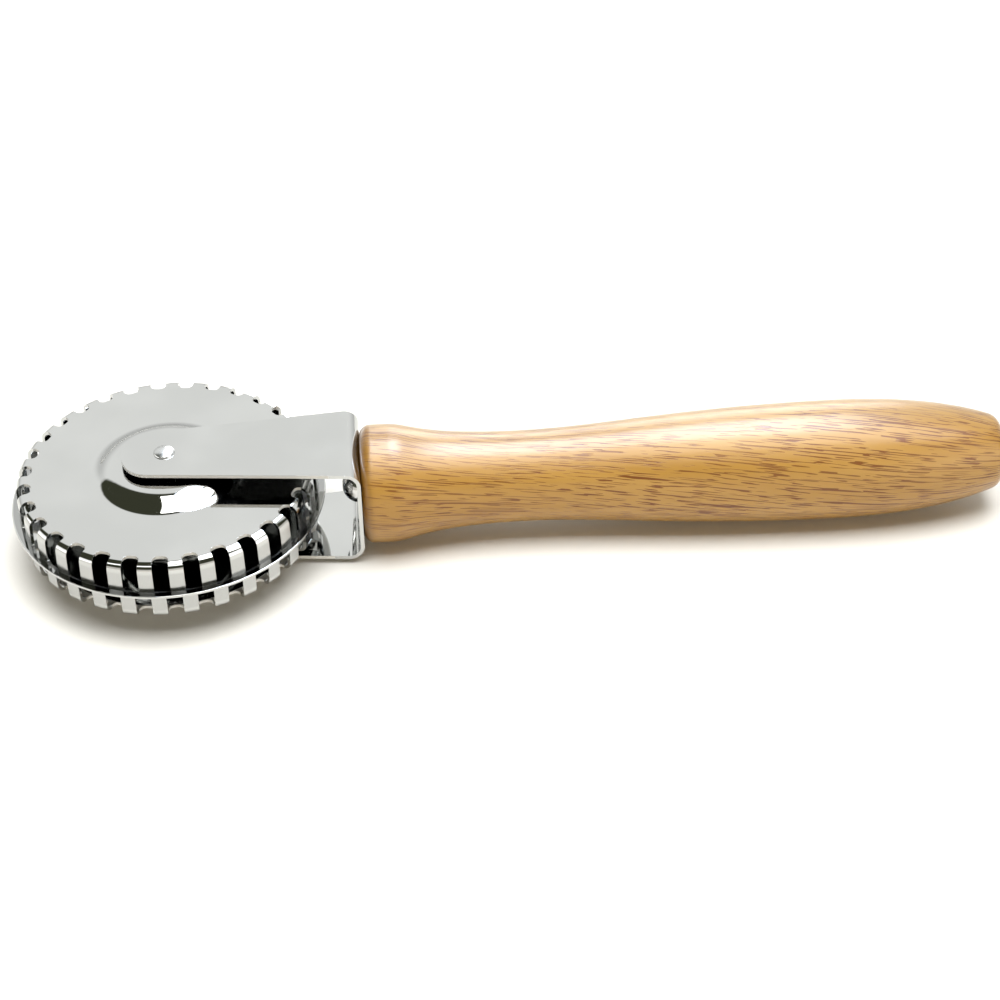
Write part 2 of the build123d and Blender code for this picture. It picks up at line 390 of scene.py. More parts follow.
class Shader(Nodes):
    """A new material and short ways to add patterns to it."""

    even_reach = 9.0
    least_reach = 6.0

    def __init__(self, name: str) -> None:
        """Starts a material that has only its Principled surface."""
        self.material = bpy.data.materials.new(name)
        self.material.use_nodes = True
        super().__init__(self.material.node_tree)
        self.surface = self.tree.nodes["Principled BSDF"]

    def place(self, scale: Sequence[float], twist: float = 0.0) -> Socket:
        """Gives the piece's own coordinates, scaled, and first wound round X where a twist is given.

        Wound coordinates keep one distance from X, so that a pattern follows a turned
        surface instead of being cut by it. Close to X they run straight, for an end face.

        Args:
            scale: Cells of a pattern in a metre, along each axis.
            twist: Turn of the pattern about X in each metre along it, in radians.

        Returns:
            The output with the coordinates.
        """
        own = self.node("ShaderNodeTexCoord", {}).outputs["Object"]
        if twist:
            parts = self.node("ShaderNodeSeparateXYZ", {"Vector": own}).outputs
            along = self.node("ShaderNodeCombineXYZ", {"X": parts["X"]}).outputs["Vector"]
            across = self.node("ShaderNodeCombineXYZ", {"Y": parts["Y"], "Z": parts["Z"]}).outputs["Vector"]
            reach = self.maths("MAXIMUM", self.measure("LENGTH", across), self.least_reach * MM)
            share = self.maths("DIVIDE", self.even_reach * MM, reach)
            even = self.node("ShaderNodeVectorMath", {0: across, "Scale": share}, operation="SCALE")
            values = {"Vector": even.outputs["Vector"], "Angle": self.maths("MULTIPLY", parts["X"], twist)}
            wound = self.node("ShaderNodeVectorRotate", values, rotation_type="X_AXIS").outputs["Vector"]
            own = self.node("ShaderNodeVectorMath", {0: wound, 1: along}, operation="ADD").outputs["Vector"]
        return self.node("ShaderNodeMapping", {"Vector": own, "Scale": scale}).outputs["Vector"]

    def noise(self, place: Socket, detail: float = 2.0, rough: float = 0.5) -> Socket:
        """Adds a noise pattern.

        Args:
            place: Coordinates of the pattern.
            detail: Finer layers in it.
            rough: How strong they are.

        Returns:
            The output with the pattern, about 0 to 1.
        """
        values = {"Vector": place, "Scale": 1.0, "Detail": detail, "Roughness": rough}
        return self.node("ShaderNodeTexNoise", values).outputs["Fac"]

    def within(self, values: Sequence[Socket], bands: Sequence[Pair]) -> Socket:
        """Marks where every value lies in its own band.

        Args:
            values: Outputs with lengths, in metres.
            bands: Middle and half width of the band for each, in millimetres.

        Returns:
            The output that is one inside all the bands and nought elsewhere.
        """
        marked: float | Socket = 1.0
        for value, (middle, half) in zip(values, bands):
            marked = self.maths("MULTIPLY", marked, self.maths("COMPARE", value, middle * MM, half * MM))
        return marked

    def bump(self, height: Socket, depth: float, strength: float, invert: bool = False) -> Socket:
        """Raises the surface by a pattern.

        Args:
            height: The pattern.
            depth: Height of its whole range, in millimetres.
            strength: Share of it that shows.
            invert: Whether the pattern sinks in instead.

        Returns:
            The output with the normal.
        """
        values = {"Height": height, "Strength": strength, "Distance": depth * MM}
        return self.node("ShaderNodeBump", values, invert=invert).outputs["Normal"]

    def dress(self, **values: object) -> bpy.types.Material:
        """Sets inputs of the surface, by their names with _ for a blank.

        Args:
            values: A value or an output for each input.

        Returns:
            The finished material.
        """
        for name, value in values.items():
            self.set(self.surface.inputs[name.replace("_", " ")], value)
        return self.material


def shade(colour: Colour, share: float) -> Colour:
    """Gives a share of a colour."""
    return tuple(share * part for part in colour)


@dataclass(frozen=True)
class BrightPlate:
    """Bright nickel-chrome plate on pressed sheet, hazed and clouded, with rougher places and painted shade.

    The tooth faces are satin, and tinted darker as painted shade for the shaded floor that they mirror;
    the spun ends of the pin are less bright and the cut edges of the notches and of the fork's arms matt.
    The inside of the arms near the axle and the disc's ring between the teeth and the rim are painted
    darker, as painted shade. Levels are measured from the disc's middle and radii from the axle, most as a
    middle and half a width.
    """

    colour: Colour = (0.535, 0.54, 0.53)
    haze_scale: float = 160.0
    haze_range: Pair = (0.42, 0.75)
    clean_roughness: float = 0.035
    rubbed_roughness: float = 0.09
    cloud_scale: float = 55.0
    cloud_range: Pair = (0.35, 0.65)
    cloud_share: float = 0.93
    # Tooth faces: satin roughness, and a darker tint that is painted shade for the shaded floor that they mirror.
    face_shade_share: float = 0.82
    satin_roughness: float = 0.15
    satin_and_shade_height: float = 4.4
    satin_and_shade_fade: float = 0.5
    satin_and_shade_radius: Pair = (27.2, 0.2)
    # Painted shade on the inside of the fork's arms near the axle, fading out away from it.
    arm_shade_share: float = 0.25
    arm_shade_level: Pair = (9.05, 0.05)
    arm_shade_fade: Pair = (22.0, 26.0)
    cut_metallic: float = 0.25
    cut_roughness: float = 0.4
    cut_level: Pair = (5.74, 0.3)
    cut_radius: Pair = (24.9, 0.65)
    edge_level: Pair = (9.4, 0.32)
    edge_radius: Pair = (15.5, 15.4)
    spun_roughness: float = 0.2
    spun_level: Pair = (10.5, 0.7)
    spun_radius: Pair = (1.0, 1.2)
    # Painted shade: the disc's ring between the teeth and its rim is darkened for the dark that it mirrors.
    ring_shade_share: float = 0.66
    ring_shade_level: Pair = (0.25, 0.03)
    ring_shade_radius: Pair = (27.75, 0.5)
    wave_scale: float = 110.0
    wave_height: float = 0.006
    wave_strength: float = 0.35

    def material(self) -> bpy.types.Material:
        """Builds the finish as a material."""
        shader = Shader("bright_plate")
        haze = shader.noise(shader.place((self.haze_scale,) * 3), detail=4, rough=0.6)
        clouds = shader.noise(shader.place((self.cloud_scale,) * 3))
        waves = shader.noise(shader.place((self.wave_scale,) * 3), detail=1)
        level = shader.measure("LENGTH", shader.place((0, 0, 1)))
        reach = shader.measure("DISTANCE", shader.place((1, 1, 0)), (AXLE * MM, 0, 0))
        # Mask of the tooth faces, for their satin roughness and for their tint of painted shade.
        low = shader.spread(level, (self.satin_and_shade_height - self.satin_and_shade_fade) * MM, self.satin_and_shade_height * MM, (1, 0))
        satin_and_shade = shader.maths("MULTIPLY", low, shader.within((reach,), (self.satin_and_shade_radius,)))
        # The inside of the fork's arms near the axle is painted darker: painted shade where arm and cup face each
        # other.
        start, end = (radius * MM for radius in self.arm_shade_fade)
        arm_shade_reach = shader.spread(reach, start, end, (1, 0))
        arm_shade = shader.maths("MULTIPLY", shader.within((level,), (self.arm_shade_level,)), arm_shade_reach)
        places = (level, reach)
        notch = shader.within(places, (self.cut_level, self.cut_radius))
        edge = shader.within(places, (self.edge_level, self.edge_radius))
        cut = shader.maths("MAXIMUM", notch, edge)
        spun = shader.within(places, (self.spun_level, self.spun_radius))
        # Disc's ring between the teeth and the rim, darkened as painted shade.
        ring = shader.within(places, (self.ring_shade_level, self.ring_shade_radius))
        roughness = shader.spread(haze, *self.haze_range, (self.clean_roughness, self.rubbed_roughness))
        for mask, rise in ((satin_and_shade, self.satin_roughness), (spun, self.spun_roughness), (cut, self.cut_roughness)):
            roughness = shader.maths("MULTIPLY_ADD", mask, rise, roughness)
        # Clouds are random tone; the tooth-face, arm and ring tints are painted shade.
        tint = self.colour
        for mask, share in (
            (shader.spread(clouds, *self.cloud_range), self.cloud_share),
            (satin_and_shade, self.face_shade_share),
            (arm_shade, self.arm_shade_share),
            (ring, self.ring_shade_share),
        ):
            tint = shader.blend(mask, tint, shade(self.colour, share))
        return shader.dress(
            Base_Color=tint,
            Metallic=shader.spread(cut, 0, 1, (1, self.cut_metallic)),
            Roughness=roughness,
            Normal=shader.bump(waves, self.wave_height, self.wave_strength),
        )


@dataclass(frozen=True)
class PlainSteel:
    """Zinc-bright steel of small fastenings, duller than the plate, with fine turning marks."""

    colour: Colour = (0.66, 0.66, 0.65)
    spot_scale: float = 900.0
    spot_range: Pair = (0.3, 0.7)
    spot_share: float = 0.82
    roughness: Pair = (0.07, 0.16)
    mark_scale: Corner = (2500.0, 2500.0, 7000.0)
    mark_height: float = 0.01
    mark_strength: float = 0.4

    def material(self) -> bpy.types.Material:
        """Builds the finish as a material."""
        shader = Shader("plain_steel")
        spots = shader.noise(shader.place((self.spot_scale,) * 3), detail=4, rough=0.65)
        marks = shader.noise(shader.place(self.mark_scale))
        return shader.dress(
            Base_Color=shader.blend(spots, self.colour, shade(self.colour, self.spot_share)),
            Metallic=1.0,
            Roughness=shader.spread(spots, *self.spot_range, self.roughness),
            Normal=shader.bump(marks, self.mark_height, self.mark_strength),
        )


@dataclass(frozen=True)
class VarnishedWood:
    """Pale golden hardwood with dark pores along a slightly slanting grain, under a clear varnish.

    The end beside the fork is darkened as painted shade, where the fork's web shades it.
    """

    pale: Colour = (0.352, 0.2, 0.042)
    warm: Colour = (0.305, 0.163, 0.025)
    pore: Colour = (0.125, 0.036, 0.0)
    # Colour of the painted shade at the handle's end against the fork's web.
    fork_shade: Colour = (0.1, 0.038, 0.002)
    grain_twist: float = -14.0
    band_scale: Corner = (9.0, 120.0, 120.0)
    band_range: Pair = (0.3, 0.7)
    band_roughness: Pair = (0.36, 0.46)
    fibre_scale: Corner = (60.0, 1500.0, 1500.0)
    fibre_range: Pair = (0.35, 0.7)
    fibre_share: float = 0.07
    short_scale: Corner = (240.0, 4800.0, 4800.0)
    short_range: Pair = (0.626, 0.65)
    long_scale: Corner = (70.0, 4400.0, 4400.0)
    long_range: Pair = (0.674, 0.698)
    crowd_scale: Corner = (35.0, 90.0, 90.0)
    crowd_range: Pair = (0.3, 0.6)
    crowd_strength: Pair = (0.55, 1.0)
    noise_layers: tuple[float, ...] = (3.0, 2.0, 0.0, 0.0, 1.0)
    pore_depth: float = 0.03
    pore_strength: float = 0.5
    fork_shade_share: float = 0.8
    fork_shade_length: float = 2.8
    wood_gloss: float = 0.12
    varnish_roughness: float = 0.29
    varnish_ior: float = 1.45

    def material(self) -> bpy.types.Material:
        """Builds the finish as a material."""
        shader = Shader("varnished_wood")
        scales = (self.band_scale, self.fibre_scale, self.short_scale, self.long_scale, self.crowd_scale)
        bands, fibres, short, long, crowd = (
            shader.noise(shader.place(scale, self.grain_twist), detail)
            for scale, detail in zip(scales, self.noise_layers)
        )
        pores = shader.maths(
            "MAXIMUM", shader.spread(short, *self.short_range), shader.spread(long, *self.long_range)
        )
        pores = shader.maths("MULTIPLY", pores, shader.spread(crowd, *self.crowd_range, self.crowd_strength))
        low, high = cad_box("handle")
        length = high.x - low.x
        from_butt = shader.measure("DISTANCE", shader.place((1, 0, 0)), (high.x * MM, 0, 0))
        fork_shade_start = (length - self.fork_shade_length) * MM
        colour = shader.blend(shader.spread(bands, *self.band_range), self.warm, self.pale)
        for mask, mark in (
            (shader.spread(fibres, *self.fibre_range, (0.0, self.fibre_share)), self.pore),
            (pores, self.pore),
            # Painted shade: the wood darkens towards its end against the fork's web.
            (shader.spread(from_butt, fork_shade_start, length * MM, (0.0, self.fork_shade_share)), self.fork_shade),
        ):
            colour = shader.blend(mask, colour, mark)
        normal = shader.bump(pores, self.pore_depth, self.pore_strength, invert=True)
        return shader.dress(
            Base_Color=colour,
            Roughness=shader.spread(bands, *self.band_range, self.band_roughness),
            Normal=normal,
            Specular_IOR_Level=self.wood_gloss,
            Coat_Weight=1.0,
            Coat_Roughness=self.varnish_roughness,
            Coat_IOR=self.varnish_ior,
            Coat_Normal=normal,
        )


@dataclass(frozen=True)
class PaleFloor:
    """Matt white paper, with a trace of tooth."""

    colour: Colour = (0.76, 0.758, 0.74)
    tooth_scale: float = 700.0
    tooth_share: float = 0.985
    roughness: float = 0.9
    gloss: float = 0.1

    def material(self) -> bpy.types.Material:
        """Builds the finish as a material."""
        shader = Shader("pale_floor")
        tooth = shader.noise(shader.place((self.tooth_scale,) * 3))
        tint = shader.blend(tooth, self.colour, shade(self.colour, self.tooth_share))
        return shader.dress(Base_Color=tint, Roughness=self.roughness, Specular_IOR_Level=self.gloss)


Finishes = dict[Slot, bpy.types.Material]


def make_finishes() -> Finishes:
    """Builds the material of every slot once."""
    makers = {Slot.WOOD: VarnishedWood(), Slot.PLATE: BrightPlate(), Slot.STEEL: PlainSteel()}
    return {slot: maker.material() for slot, maker in makers.items()}


def dress_piece(piece: bpy.types.Object, node: str, body: Body, slot: Slot, finishes: Finishes) -> None:
    """Gives a new piece its finish and sets it in the place of its CAD node.

    Args:
        piece: The finished mesh object.
        node: CAD node that it stands for.
        body: Body that it rides on.
        slot: Material slot of the record.
        finishes: The material of each slot.
    """
    piece.data.materials.clear()
    piece.data.materials.append(finishes[slot])
    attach(piece, body.value)
    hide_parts(node)
    LOG.info("%s: %d faces, rides on %s", piece.name, len(piece.data.polygons), body.value)


def dress_node(node: str, slot: Slot, finishes: Finishes) -> None:
    """Gives a CAD node that stays its finish.

    Args:
        node: The node's name.
        slot: Material slot of the record.
        finishes: The material of each slot.
    """
    kept = frame["nodes"][node]
    for material_slot in kept.material_slots:
        material_slot.material = finishes[slot]
    LOG.info("%s: kept from the CAD model", node)


# Sub-assemblies


@dataclass
class Handle:
    """Turned wooden handle, bored for the fork's screw."""

    collar_diameter: float = 21.64
    waist_diameter: float = 16.72
    belly_diameter: float = 21.84
    shoulder_diameter: float = 14.2
    collar_rounding: float = 2.0
    collar_band: float = 3.0
    neck_length: float = 24.5
    swell_length: float = 57.1
    tail_length: float = 29.2
    butt_length: float = 2.1
    butt_edge: float = 2.9
    shoulder_slope: float = 0.33
    neck_eases: Pair = (0.17, 0.77)
    swell_eases: Pair = (0.26, 0.49)
    tail_eases: Pair = (0.51, 0.2)
    butt_ease: float = 0.6
    bore_radius: float = 1.78
    bore_depth: float = 25.3
    bore_rounding: float = 0.3
    flat_guard: float = 0.1
    segments: int = 144
    curve_steps: int = 44
    butt_steps: int = 14
    rounding_steps: int = 12

    def outline(self) -> list[Pair]:
        """Draws half the handle's section.

        Returns:
            Points from the bore's end, out round the collar and along to the butt's middle.
        """
        front = -(self.collar_rounding + self.collar_band + self.neck_length)
        collar = self.collar_diameter / 2
        collar_end = -self.neck_length
        belly = self.swell_length
        shoulder = belly + self.tail_length
        shoulder_radius = self.shoulder_diameter / 2
        butt = shoulder + self.butt_length
        butt_radius = shoulder_radius - self.butt_edge
        line = rounded_line(
            [
                (front + self.bore_depth, 0.0, 0.0),
                (front + self.bore_depth, self.bore_radius, 0.0),
                (front, self.bore_radius, self.bore_rounding),
                (front, collar, self.collar_rounding),
                (collar_end, collar, 0.0),
            ],
            steps=self.rounding_steps,
        )
        spans = (
            ((collar_end, collar), self.neck_eases, (0.0, 0.0), (0.0, self.waist_diameter / 2)),
            ((0.0, self.waist_diameter / 2), self.swell_eases, (0.0, 0.0), (belly, self.belly_diameter / 2)),
            (
                (belly, self.belly_diameter / 2),
                self.tail_eases,
                (0.0, -self.shoulder_slope),
                (shoulder, shoulder_radius),
            ),
        )
        for start, eases, slopes, end in spans:
            leave, arrive = (ease * (end[0] - start[0]) for ease in eases)
            line += eased_curve(
                start,
                (start[0] + leave, start[1] + leave * slopes[0]),
                (end[0] - arrive, end[1] - arrive * slopes[1]),
                end,
                self.curve_steps,
            )
        leave = self.butt_ease * self.butt_length
        line += eased_curve(
            (shoulder, shoulder_radius),
            (shoulder + leave, shoulder_radius - leave * self.shoulder_slope),
            (butt, butt_radius + self.butt_ease * self.butt_edge),
            (butt, butt_radius),
            self.butt_steps,
        )
        line += [(butt, butt_radius - self.flat_guard), (butt, 0.0)]
        return line

    def build(self, finishes: Finishes) -> None:
        """Turns the handle and dresses it in varnished wood."""
        handle = turned_piece("wooden_handle", self.outline(), Turn.HANDLE_AXIS, 0.0, self.segments)
        dress_piece(handle, "handle", Body.HANDLE, Slot.WOOD, finishes)


@dataclass
class Fork:
    """U-shaped sheet fork, its screw, its axle pin and the pin's washers."""

    sheet: float = 0.7
    bend_radius: float = 2.8
    web_width: float = 19.0
    axle_width: float = 13.0
    end_radius: float = 7.75
    corner_radius: float = 5.0
    edge_rounding: float = 0.2
    bend_steps: int = 14
    end_steps: int = 28
    flat_guard: float = 0.05
    pin_radius: float = 1.5
    pin_head_radius: float = 1.9
    pin_rim_rounding: float = 0.4
    pin_steps: int = 12
    pin_segments: int = 64
    screw_radius: float = 1.75
    screw_head_radius: float = 3.3
    screw_head_height: float = 2.9
    screw_point_length: float = 4.0
    screw_tip_radius: float = 0.3
    screw_slot_width: float = 0.8
    screw_slot_depth: float = 1.2
    screw_rounding: float = 0.08
    screw_steps: int = 24
    screw_segments: int = 72

    def half_width(self, along: float, taper_start: float) -> float:
        """Gives half the fork's width.

        Args:
            along: Place along the handle.
            taper_start: Place where the arms begin to narrow.

        Returns:
            Half the width there, before the round end is cut.
        """
        web_half = self.web_width / 2
        taper = (web_half - self.axle_width / 2) / (taper_start - AXLE)
        return web_half - max(taper_start - along, 0.0) * taper

    def arm_stations(self, taper_start: float) -> list[Pair]:
        """Lays out one arm from its round end to the bend.

        Args:
            taper_start: Place where the arms begin to narrow.

        Returns:
            Places along the handle, each with half the arm's width there.
        """
        # Each corner's circle touches the end's circle from inside and the arm's slanting side.
        half = self.half_width(AXLE, taper_start)
        taper = self.half_width(AXLE + 1, taper_start) - half
        slant = hypot(1, taper)
        inset = half - self.corner_radius * slant
        spread = self.end_radius - self.corner_radius
        back = (inset * taper + sqrt((slant * spread) ** 2 - inset**2)) / slant**2
        rise = inset - taper * back
        turn = atan2(rise, back)
        last = pi / 2 - atan2(taper, 1)
        stations = arc((AXLE, 0.0), (self.end_radius,) * 2, 0.0, turn, self.end_steps)[:-1]
        stations += arc((AXLE - back, rise), (self.corner_radius,) * 2, turn, last, self.end_steps)
        for along in (AXLE, (AXLE + taper_start) / 2, taper_start - self.flat_guard):
            stations.append((along, self.half_width(along, taper_start)))
        return stations

    def stations(self) -> list[tuple[Vector, Vector, float]]:
        """Follows the strip round the whole U, from one arm's end to the other's.

        Returns:
            For each station its place on the outer face, the way outwards there, and half the strip's width.
        """
        outer_corner = cad_box("fork")[1]
        web, arm = outer_corner.x, outer_corner.z
        centre = Vector((web - self.bend_radius, 0, arm - self.bend_radius))
        web_half = self.web_width / 2
        upper = []
        for along, half in self.arm_stations(centre.x):
            upper.append((Vector((along, 0, arm)), Vector((0, 0, 1)), half))
        for step in range(self.bend_steps + 1):
            angle = pi / 2 * step / self.bend_steps
            way = Vector((sin(angle), 0, cos(angle)))
            upper.append((centre + way * self.bend_radius, way, web_half))
        upper.append((Vector((web, 0, centre.z - self.flat_guard)), Vector((1, 0, 0)), web_half))
        over = Matrix.Diagonal((1, 1, -1))
        lower = [(over @ place, over @ way, half) for place, way, half in reversed(upper)]
        return upper + lower

    def build_strip(self) -> bpy.types.Object:
        """Builds the bent strip.

        Returns:
            The fork's object, its cut edges slightly rounded.
        """
        shape = bmesh.new()
        rows = []
        for place, way, half in self.stations():
            faces = (place, place - way * self.sheet)
            if half < TINY:
                rows.append([[shape.verts.new(face)] * 2 for face in faces])
            else:
                rows.append([[shape.verts.new(face + Vector((0, y, 0))) for y in (-half, half)] for face in faces])
        for (outer, inner), (next_outer, next_inner) in zip(rows, rows[1:]):
            for near, far in ((outer, next_outer), (inner, next_inner)):
                shape.faces.new(list(dict.fromkeys([near[0], near[1], far[1], far[0]])))
            for side in range(2):
                shape.faces.new([outer[side], next_outer[side], next_inner[side], inner[side]])
        fork = as_piece("bent_fork", shape)
        soften_edges(fork, self.edge_rounding)
        return fork

    def build_pin(self) -> bpy.types.Object:
        """Turns the axle pin with its two spun-over domes."""
        arm = cad_box("fork")[1].z
        crown = cad_box("axle_pin")[1].z
        rise = crown - arm
        rim = self.pin_rim_rounding
        rim_centre = self.pin_head_radius - rim
        dome = (rim_centre**2 + rise**2 - rim**2) / (2 * (rise - rim))
        shoulder = asin(rim_centre / (dome - rim))
        half = arc((crown - dome, 0.0), (-dome, dome), 0.0, shoulder, self.pin_steps)
        half += arc((arm, rim_centre), (-rim, rim), shoulder, pi / 2, self.pin_steps)[1:]
        half.append((arm, self.pin_radius))
        line = half + [(-along, radius) for along, radius in reversed(half)]
        return turned_piece("axle_pin_domed", line, Turn.AXLE, AXLE, self.pin_segments)

    def build_screw(self) -> bpy.types.Object:
        """Turns the round-head screw and cuts its slot."""
        low, high = cad_box("fork_screw")
        seat = low.x + self.screw_head_height
        head = (self.screw_head_height, self.screw_head_radius)
        line = arc((seat, 0.0), head, 0.0, pi / 2, self.screw_steps) + [
            (seat, self.screw_radius),
            (high.x - self.screw_point_length, self.screw_radius),
            (high.x, self.screw_tip_radius),
            (high.x, 0.0),
        ]
        screw = turned_piece("slotted_screw", line, Turn.HANDLE_AXIS, 0.0, self.screw_segments)
        cutter_shape = bmesh.new()
        bmesh.ops.create_cube(cutter_shape, size=1.0)
        size = Vector((2 * self.screw_slot_depth, self.screw_slot_width, 3 * self.screw_head_radius))
        bmesh.ops.transform(
            cutter_shape,
            matrix=Matrix.Translation((low.x, 0, 0)) @ Matrix.Diagonal((*size, 1)),
            verts=cutter_shape.verts,
        )
        cutter = as_piece("slot_cutter", cutter_shape)
        cut = screw.modifiers.new("slot", "BOOLEAN")
        cut.operation = "DIFFERENCE"
        cut.solver = "EXACT"
        cut.object = cutter
        keep_result(screw)
        bpy.data.objects.remove(cutter)
        soften_edges(screw, self.screw_rounding, segments=2)
        return screw

    def build(self, finishes: Finishes) -> None:
        """Builds and dresses the fork and the small pieces that hold it and the wheel."""
        dress_piece(self.build_strip(), "fork", Body.HANDLE, Slot.PLATE, finishes)
        dress_piece(self.build_pin(), "axle_pin", Body.HANDLE, Slot.PLATE, finishes)
        dress_piece(self.build_screw(), "fork_screw", Body.HANDLE, Slot.STEEL, finishes)
        for node in ("upper_washer", "lower_washer"):
            dress_node(node, Slot.STEEL, finishes)


class ToothRing(Nodes):
    """Geometry Nodes tree that sets one tooth's sector round the axle and joins the ring."""

    join_distance = 0.002

    def __init__(self) -> None:
        """Builds the tree with its inputs."""
        super().__init__(bpy.data.node_groups.new("tooth_ring", "GeometryNodeTree"))
        face = self.tree.interface
        face.new_socket("Geometry", in_out="INPUT", socket_type="NodeSocketGeometry")
        kinds = {"Tooth Count": "Int", "First Tooth Angle": "Float", "Join Distance": "Float", "Plate": "Material"}
        self.inputs = {
            name: face.new_socket(name, in_out="INPUT", socket_type=f"NodeSocket{kind}")
            for name, kind in kinds.items()
        }
        face.new_socket("Geometry", in_out="OUTPUT", socket_type="NodeSocketGeometry")
        self.wire()

    def wire(self) -> None:
        """Adds the tree's nodes and joins them."""
        given = self.node("NodeGroupInput", {}).outputs
        index = self.node("GeometryNodeInputIndex", {}).outputs["Index"]
        turn = self.maths("MULTIPLY", index, self.maths("DIVIDE", 2 * pi, given["Tooth Count"]))
        angle = self.maths("ADD", turn, given["First Tooth Angle"])
        spin = self.node("ShaderNodeCombineXYZ", {"Z": angle}).outputs["Vector"]
        values = {
            "Points": self.node("GeometryNodePoints", {"Count": given["Tooth Count"]}).outputs["Points"],
            "Instance": given["Geometry"],
            "Rotation": self.node("FunctionNodeEulerToRotation", {"Euler": spin}).outputs["Rotation"],
        }
        repeat = self.node("GeometryNodeInstanceOnPoints", values).outputs["Instances"]
        result = self.node("GeometryNodeRealizeInstances", {"Geometry": repeat}).outputs["Geometry"]
        for kind, name, value in (
            ("GeometryNodeMergeByDistance", "Distance", given["Join Distance"]),
            ("GeometryNodeSetMaterial", "Material", given["Plate"]),
        ):
            result = self.node(kind, {"Geometry": result, name: value}).outputs["Geometry"]
        self.node("NodeGroupOutput", {"Geometry": result})

    def ring(self, sector: bpy.types.Object, count: int, first: float, plate: bpy.types.Material) -> None:
        """Makes a sector the whole ring.

        Args:
            sector: One tooth's sector about the origin, which becomes the ring.
            count: Teeth in the ring.
            first: Angle of the first tooth, in radians.
            plate: The ring's material.
        """
        modifier = sector.modifiers.new("teeth", "NODES")
        modifier.node_group = self.tree
        for socket, value in zip(self.inputs.values(), (count, first, self.join_distance * MM, plate)):
            modifier[socket.identifier] = value
        keep_result(sector)


